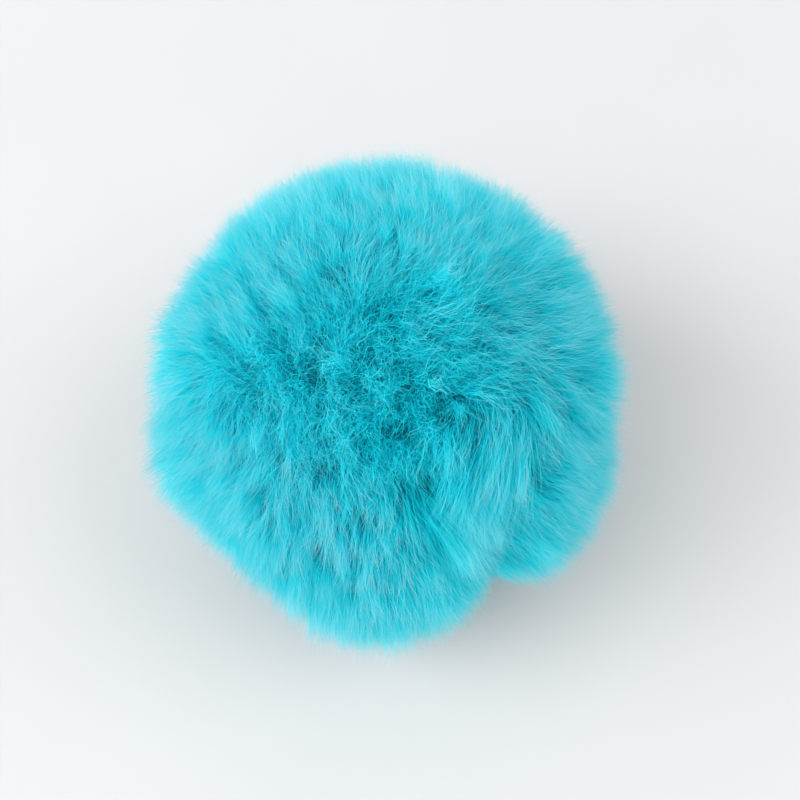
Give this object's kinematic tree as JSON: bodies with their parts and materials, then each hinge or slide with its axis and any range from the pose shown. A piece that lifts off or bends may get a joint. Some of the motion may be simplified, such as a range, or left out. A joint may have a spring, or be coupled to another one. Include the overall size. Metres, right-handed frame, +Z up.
{
  "type": "pom pom",
  "caption": "Round soft pom pom of long turquoise faux fur, pressed flat where it rests, used as a trimming on hats, bags and key rings.",
  "frame": {"origin": "centre of the bounding box at the base, on the flat spot that the ball rests on", "axes": "+Z up out of the flat spot, the ball's shortest way; +X across the ball to the right; +Y to the back"},
  "size_m": [0.0804, 0.084, 0.0686],
  "materials": {
    "pile": "soft, dull turquoise pile with paler tips"
  },
  "bodies": {
    "root": {"pom_pom": "pile"}
  },
  "joints": []
}
